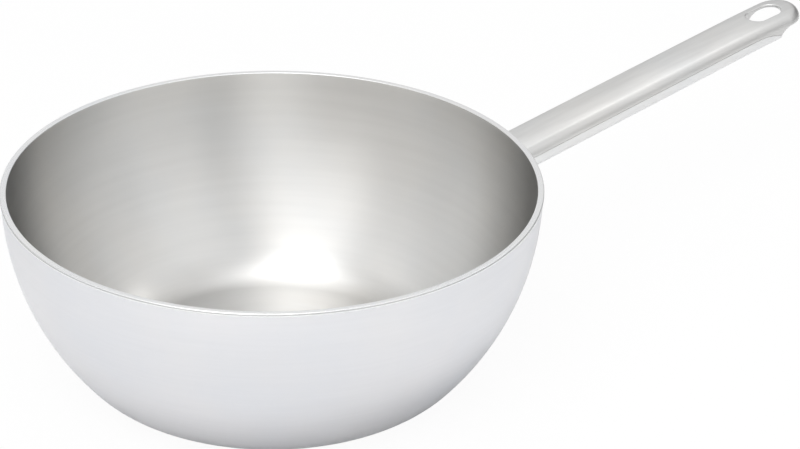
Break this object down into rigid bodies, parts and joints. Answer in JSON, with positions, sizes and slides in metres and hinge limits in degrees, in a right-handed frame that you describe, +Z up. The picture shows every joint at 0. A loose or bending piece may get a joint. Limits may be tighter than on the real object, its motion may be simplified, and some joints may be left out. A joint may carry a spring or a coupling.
{
  "type": "saucier pan",
  "caption": "Curved-wall saucier pan in clad stainless steel, with a folded rim and one welded hollow handle that ends in a hanging slot.",
  "frame": {"origin": "centre of the base's underside, on the bowl's axis", "axes": "+X along the handle from the bowl to its tip, +Z up out of the bowl's mouth"},
  "size_m": [0.4635, 0.2458, 0.094],
  "materials": {
    "cooking_steel": "brushed in circles",
    "satin_steel": "fine satin",
    "handle_steel": "brushed along the handle",
    "weld_steel": "ground weld",
    "core_aluminium": "rolled",
    "bond_aluminium": "rolled"
  },
  "bodies": {
    "root": {"cooking_skin": "cooking_steel", "upper_bond_ply": "bond_aluminium", "aluminium_core": "core_aluminium", "lower_bond_ply": "bond_aluminium", "induction_skin": "satin_steel", "handle_upper_shell": "handle_steel", "handle_lower_shell": "handle_steel", "handle_seam_weld_left": "weld_steel", "handle_seam_weld_right": "weld_steel", "handle_root_weld": "weld_steel"}
  },
  "joints": []
}
